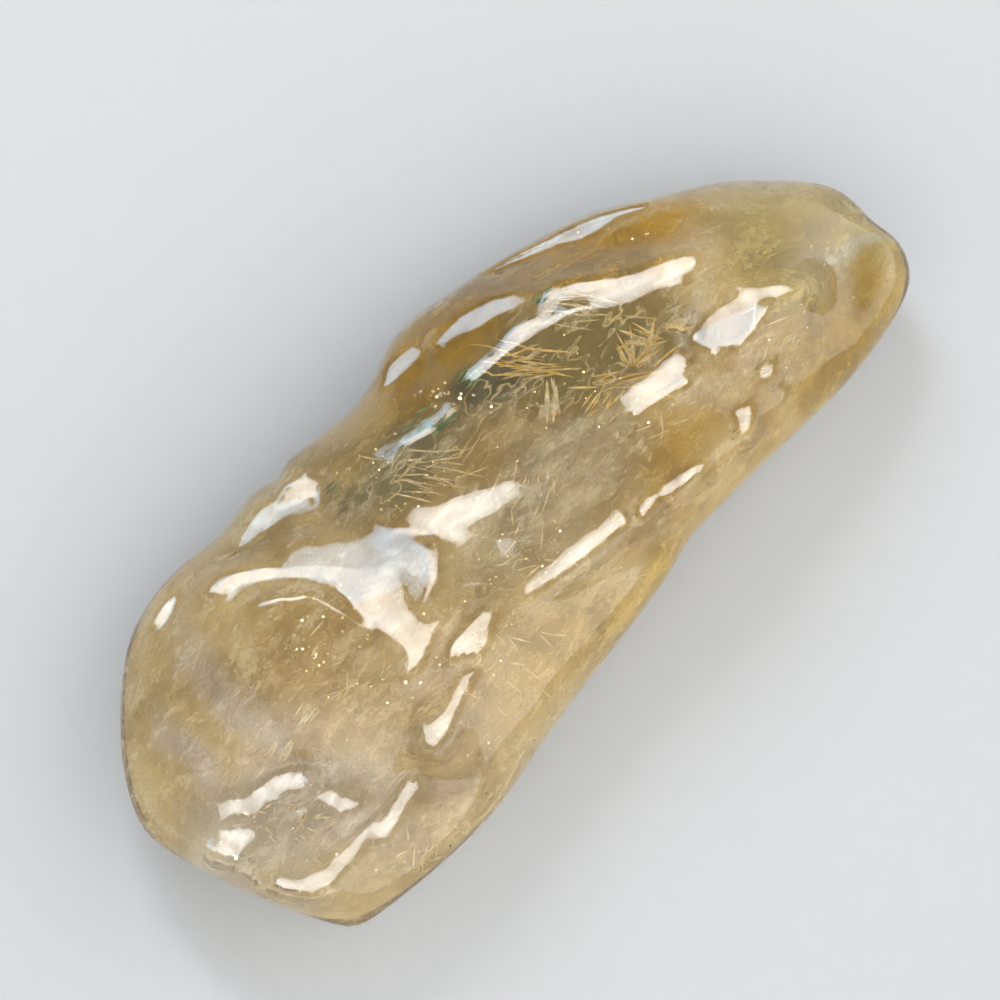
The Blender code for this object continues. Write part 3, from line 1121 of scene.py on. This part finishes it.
@dataclass
class Needles:
    """Needles that grew in fans inside the quartz, each a slim spindle drawn to a point at both ends."""

    name: str
    finish: CrystalGlint
    fans: tuple[Fan, ...]
    seed: int
    thickness: float = 0.35
    sides: int = 6
    rings: int = 6

    def spindle(self) -> bpy.types.Object:
        """Models one spindle a millimetre long along X and a millimetre wide.

        Returns:
            The spindle.
        """
        deselect_all()
        bpy.ops.mesh.primitive_uv_sphere_add(segments=self.sides, ring_count=self.rings, radius=0.5)
        spindle = bpy.context.view_layer.objects.active
        bpy.ops.object.mode_set(mode="EDIT")
        bpy.ops.mesh.select_all(action="SELECT")
        bpy.ops.transform.rotate(value=math.radians(90), orient_axis="Y", center_override=(0.0, 0.0, 0.0))
        bpy.ops.object.mode_set(mode="OBJECT")
        for vertex in spindle.data.vertices:
            # The round ends are drawn out to points.
            shrink = 1.0 - abs(2 * vertex.co.x) ** 1.5 * 0.6
            vertex.co.y *= shrink
            vertex.co.z *= shrink * self.thickness
        return spindle

    def build(self, depths: Depths) -> bpy.types.Object:
        """Models one spindle, lays its copies in their fans and joins them.

        Args:
            depths: The places inside the stone.

        Returns:
            The joined needles.
        """
        rng = np.random.default_rng(self.seed)
        spindle = self.spindle()
        copies = []
        for fan in self.fans:
            for _ in range(fan.count):
                angle = math.radians(fan.turn_deg + rng.uniform(-0.5, 0.5) * fan.spread_deg)
                length = rng.uniform(*fan.length)
                column, row = fan.column + rng.normal(0, fan.scatter), fan.row + rng.normal(0, fan.scatter * 0.6)
                depth = fan.depth_mm * rng.uniform(0.7, 1.3)
                root = depths.under(column, row, depth)
                tip = depths.under(column + math.cos(angle) * length, row - math.sin(angle) * length,
                                   depth + rng.uniform(-0.4, 0.4))
                if root is None or tip is None:
                    continue
                along = tip - root
                turn = along.to_track_quat("X", "Z").to_matrix()
                width = fan.width * rng.uniform(0.6, 1.3) / VIEW.pixels_per_mm
                copy = spindle.copy()
                copy.data = spindle.data.copy()
                bpy.context.scene.collection.objects.link(copy)
                for vertex in copy.data.vertices:
                    own = Vector((vertex.co.x * along.length, vertex.co.y * width, vertex.co.z * width))
                    vertex.co = (turn @ own + (root + tip) / 2) * MM
                copies.append(copy)
        bpy.data.objects.remove(spindle)
        deselect_all()
        for copy in copies:
            copy.select_set(True)
        bpy.context.view_layer.objects.active = copies[0]
        bpy.ops.object.join()
        needles = bpy.context.view_layer.objects.active
        needles.data.materials.append(self.finish.make())
        return settle_object(needles, self.name)


@dataclass(frozen=True)
class Swarm:
    """A swarm of flecks as the photograph shows it, in its pixels."""

    column: float
    row: float
    reach_x: float
    reach_y: float
    count: int
    size: tuple[float, float] = (2.0, 5.0)
    depth_mm: tuple[float, float] = (0.8, 3.0)


@dataclass
class Flecks:
    """Flecks: tiny flat cracks and grains inside the quartz that flash one by one."""

    name: str
    finish: CrystalGlint
    swarms: tuple[Swarm, ...]
    seed: int
    # How unevenly they lie: only some of them catch the key softbox.
    spread: float = 0.13

    def glance(self) -> Vector:
        """The direction that a flake inside the stone must face to flash the key softbox to the camera."""
        bent = np.array([1.0, 1.0, 0.0]) / PolishedQuartz.ior
        ways = []
        for way in (VIEW.back, SOFTBOXES[Aim.KEY].direction(VIEW)):
            level = way * bent
            ways.append(level + np.array([0.0, 0.0, math.sqrt(1.0 - level @ level)]))
        return Vector(ways[0] + ways[1]).normalized()

    def flake(self) -> bpy.types.Object:
        """Models one flake, an uneven five-sided plate a millimetre wide.

        Returns:
            The flake.
        """
        deselect_all()
        bpy.ops.mesh.primitive_cylinder_add(vertices=5, radius=0.5, depth=0.18)
        flake = bpy.context.view_layer.objects.active
        for vertex in flake.data.vertices:
            vertex.co.x *= 1.0 + 0.5 * vertex.co.y
            vertex.co.y *= 0.7 if vertex.co.x > 0 else 1.1
        return flake

    def build(self, depths: Depths) -> bpy.types.Object:
        """Models one flake, scatters its copies and joins them.

        Args:
            depths: The places inside the stone.

        Returns:
            The joined flecks.
        """
        rng = np.random.default_rng(self.seed)
        glance = self.glance()
        flake = self.flake()
        copies = []
        for swarm in self.swarms:
            for _ in range(swarm.count):
                column = swarm.column + rng.normal(0, swarm.reach_x / 2)
                row = swarm.row + rng.normal(0, swarm.reach_y / 2)
                middle = depths.under(column, row, rng.uniform(*swarm.depth_mm))
                if middle is None:
                    continue
                size = rng.uniform(*swarm.size) / VIEW.pixels_per_mm
                facing = glance + Vector(rng.normal(0, self.spread, 3))
                turn = facing.to_track_quat("Z", "Y").to_matrix()
                angle = rng.uniform(0, math.tau)
                spin = Vector((math.cos(angle), math.sin(angle), 0.0))
                copy = flake.copy()
                copy.data = flake.data.copy()
                bpy.context.scene.collection.objects.link(copy)
                for vertex in copy.data.vertices:
                    x, y, z = vertex.co
                    own = Vector((x * spin.x - y * spin.y, x * spin.y + y * spin.x, z)) * size
                    vertex.co = (turn @ own + middle) * MM
                copies.append(copy)
        bpy.data.objects.remove(flake)
        deselect_all()
        for copy in copies:
            copy.select_set(True)
        bpy.context.view_layer.objects.active = copies[0]
        bpy.ops.object.join()
        flecks = bpy.context.view_layer.objects.active
        flecks.data.materials.append(self.finish.make())
        return settle_object(flecks, self.name)


INCLUSIONS = (
    Needles("golden_needles", CrystalGlint("iron_stained_needle", "#FFE7A0", "#E6B954"), (
        Fan(632, 372, 75, 90, 16, (18, 46), 3.2, 1.6),
        Fan(655, 345, 170, 70, 12, (16, 40), 3.0, 1.8),
        Fan(560, 372, 178, 24, 14, (30, 80), 2.2, 1.8, 14),
        Fan(610, 385, 12, 30, 12, (24, 60), 2.4, 1.6, 14),
        Fan(665, 331, 4, 12, 2, (22, 28), 5.5, 1.2, 2),
        Fan(645, 356, 80, 8, 1, (38, 40), 5.0, 1.0, 1),
        Fan(595, 412, 60, 60, 8, (14, 30), 2.6, 1.6, 10),
        Fan(500, 372, 10, 30, 8, (20, 50), 1.8, 2.0, 12),
    ), seed=3),
    Needles("pale_needles", CrystalGlint("clear_quartz_needle", "#FFF6D8", "#DCC48C"), (
        Fan(548, 426, 88, 8, 2, (38, 46), 6.0, 1.2, 3),
        Fan(561, 421, 100, 10, 2, (34, 42), 4.0, 1.3, 3),
        Fan(620, 318, 172, 30, 14, (26, 70), 1.8, 2.0, 16),
        Fan(530, 500, 75, 60, 16, (14, 36), 2.4, 1.6, 18),
        Fan(430, 470, 5, 40, 18, (16, 44), 1.8, 1.6, 20),
        Fan(430, 492, 170, 30, 10, (16, 40), 1.6, 1.6, 16),
        Fan(500, 560, 40, 90, 20, (12, 30), 1.8, 1.4, 24),
        Fan(520, 660, 150, 60, 18, (10, 30), 1.6, 1.2, 28),
        Fan(640, 440, 60, 80, 8, (12, 30), 1.8, 1.5, 24),
        Fan(760, 340, 60, 80, 8, (10, 26), 1.8, 1.2, 22),
        Fan(360, 680, 50, 90, 26, (8, 24), 1.9, 1.2, 30),
        Fan(400, 850, 60, 90, 16, (8, 22), 1.9, 0.9, 24),
        Fan(300, 820, 30, 160, 24, (7, 18), 2.0, 0.8, 20),
        Fan(282, 750, 56, 16, 7, (12, 22), 2.6, 0.7, 6),
        Fan(303, 718, 52, 16, 7, (12, 22), 2.6, 0.7, 6),
    ), seed=5),
    Needles("green_veins", CrystalGlint("green_crack_stain", "#7DA06A", "#3F6B4A"), (
        Fan(422, 437, 37, 14, 14, (18, 36), 3.0, 1.3, 12),
        Fan(470, 388, 58, 20, 8, (12, 22), 3.0, 1.3, 6),
        Fan(537, 308, 40, 24, 8, (12, 24), 2.6, 1.2, 6),
        Fan(335, 497, 50, 20, 5, (12, 22), 2.6, 1.2, 5),
    ), seed=11),
    Flecks("bright_flecks", CrystalGlint(
        "open_crack_flake", "#FFF8E0", "#F5E2B0", roughness=(0.12, 0.3), mirroring=1.0), (
        Swarm(444, 403, 26, 12, 22, (1.6, 4.0)),
        Swarm(493, 414, 6, 4, 2, (3.0, 4.5)),
        Swarm(335, 655, 60, 80, 120, (1.2, 3.4)),
        Swarm(400, 470, 70, 50, 60, (1.0, 2.8)),
        Swarm(478, 745, 12, 12, 12, (2.0, 4.2)),
        Swarm(528, 744, 6, 14, 9, (2.0, 4.2)),
        Swarm(440, 845, 16, 16, 14, (1.8, 4.2)),
        Swarm(375, 862, 6, 14, 9, (2.0, 4.2)),
        Swarm(450, 690, 60, 70, 70, (1.0, 2.8)),
        Swarm(520, 560, 80, 60, 70, (1.0, 2.8)),
        Swarm(600, 400, 120, 60, 70, (1.0, 2.6)),
        Swarm(780, 280, 100, 70, 80, (1.0, 2.6)),
        Swarm(300, 830, 70, 50, 90, (1.0, 3.2)),
        Swarm(610, 240, 90, 16, 30, (1.0, 2.8), (0.6, 1.4)),
    ), seed=7),
)


@dataclass
class Studio:
    """A pale floor, soft light and the camera at the photograph's angle."""

    floor_half_mm: float = 900.0
    floor_gap_mm: float = 0.05
    floor_colour: str = "#B4B5B5"
    room_colour: str = "#FDFEFF"
    # The room is dim round a place up on the camera's far left, and bright from this far off it.
    dim_towards: tuple[float, float, float] = (-0.4, 0.6, 0.7)
    dim: tuple[float, float] = (0.75, 0.35)
    bright: tuple[float, float] = (0.1, 1.8)
    sensor_mm: float = 36.0
    exposure: float = 0.5

    def build_floor(self) -> bpy.types.Object:
        """Lays the floor just under the stone.

        Returns:
            The floor.
        """
        deselect_all()
        bpy.ops.mesh.primitive_plane_add(size=2 * self.floor_half_mm * MM,
                                         location=(0.0, 0.0, -self.floor_gap_mm * MM))
        floor = bpy.context.view_layer.objects.active
        floor.name = "floor"
        material, tree, output = new_material("matt_painted_board")
        place = add_node(tree, "ShaderNodeTexCoord").outputs["Object"]
        grain = add_node(tree, "ShaderNodeTexNoise", {"Scale": 1 / (6 * MM), "Detail": 2.0},
                         {"Vector": place})
        rough = add_node(tree, "ShaderNodeMapRange", {"To Min": 0.7, "To Max": 0.85},
                         {0: grain.outputs[0]})
        shader = add_node(tree, "ShaderNodeBsdfPrincipled", {"Base Color": linear(self.floor_colour)},
                          {"Roughness": rough.outputs[0]})
        tree.links.new(shader.outputs[0], output.inputs["Surface"])
        floor.data.materials.append(material)
        return floor

    def build_room(self) -> None:
        """Fills the room with soft light, which comes from the camera's side more than from the far one."""
        world = bpy.data.worlds.new("studio")
        world.use_nodes = True
        tree = world.node_tree
        right, ahead, up = self.dim_towards
        axis = Vector(VIEW.right * right + VIEW.ahead * ahead).normalized() * math.hypot(right, ahead)
        axis.z = up
        way = add_node(tree, "ShaderNodeTexCoord").outputs["Generated"]
        nearness = add_node(tree, "ShaderNodeVectorMath", {"operation": "DOT_PRODUCT", 1: axis.normalized()},
                            {0: way}).outputs["Value"]
        glow = add_node(tree, "ShaderNodeMapRange", {
            "interpolation_type": "SMOOTHSTEP", "From Min": self.bright[0], "From Max": self.dim[0],
            "To Min": self.bright[1], "To Max": self.dim[1]}, {"Value": nearness})
        background = tree.nodes["Background"]
        background.inputs["Color"].default_value = linear(self.room_colour)
        tree.links.new(glow.outputs[0], background.inputs["Strength"])
        bpy.context.scene.world = world

    def build_camera(self) -> bpy.types.Object:
        """Places the camera so that the photograph's scale and framing hold.

        Returns:
            The camera.
        """
        data = bpy.data.cameras.new("camera")
        data.sensor_width = self.sensor_mm
        data.lens = self.sensor_mm * VIEW.distance_mm * VIEW.pixels_per_mm / VIEW.frame_pixels
        data.clip_start = 0.01
        camera = bpy.data.objects.new("camera", data)
        bpy.context.scene.collection.objects.link(camera)
        camera.location = Vector((VIEW.middle + VIEW.back * VIEW.distance_mm) * MM)
        camera.rotation_euler = Vector(VIEW.back).to_track_quat("Z", "Y").to_euler()
        bpy.context.scene.camera = camera
        return camera

    def build(self) -> None:
        """Builds the floor, the room, the softboxes and the camera, and sets how light is followed."""
        self.build_floor()
        self.build_room()
        for softbox in SOFTBOXES.values():
            softbox.build(VIEW)
        self.build_camera()
        scene = bpy.context.scene
        scene.view_settings.view_transform = "Standard"
        scene.view_settings.exposure = self.exposure
        scene.cycles.max_bounces = 7
        scene.cycles.diffuse_bounces = 2
        scene.cycles.glossy_bounces = 2
        scene.cycles.transmission_bounces = 6
        scene.cycles.transparent_max_bounces = 8
        scene.cycles.use_adaptive_sampling = True
        scene.cycles.adaptive_threshold = 0.15
        scene.cycles.use_denoising = True


def report_piece(piece: bpy.types.Object) -> None:
    """Logs a piece's name and size."""
    LOG.info("%s: %d faces, %s mm", piece.name, len(piece.data.polygons),
             [round(side / MM, 1) for side in piece.dimensions])


def main() -> None:
    """Builds the studio and the pieces in order."""
    logging.basicConfig(level=logging.INFO, format="%(name)s: %(message)s")
    Studio().build()
    stone = StoneBody().build()
    report_piece(stone)
    for layer in INNER_LAYERS:
        report_piece(layer.build(stone))
    depths = Depths(stone)
    for inclusion in INCLUSIONS:
        report_piece(inclusion.build(depths))


if __name__ == "__main__":
    main()
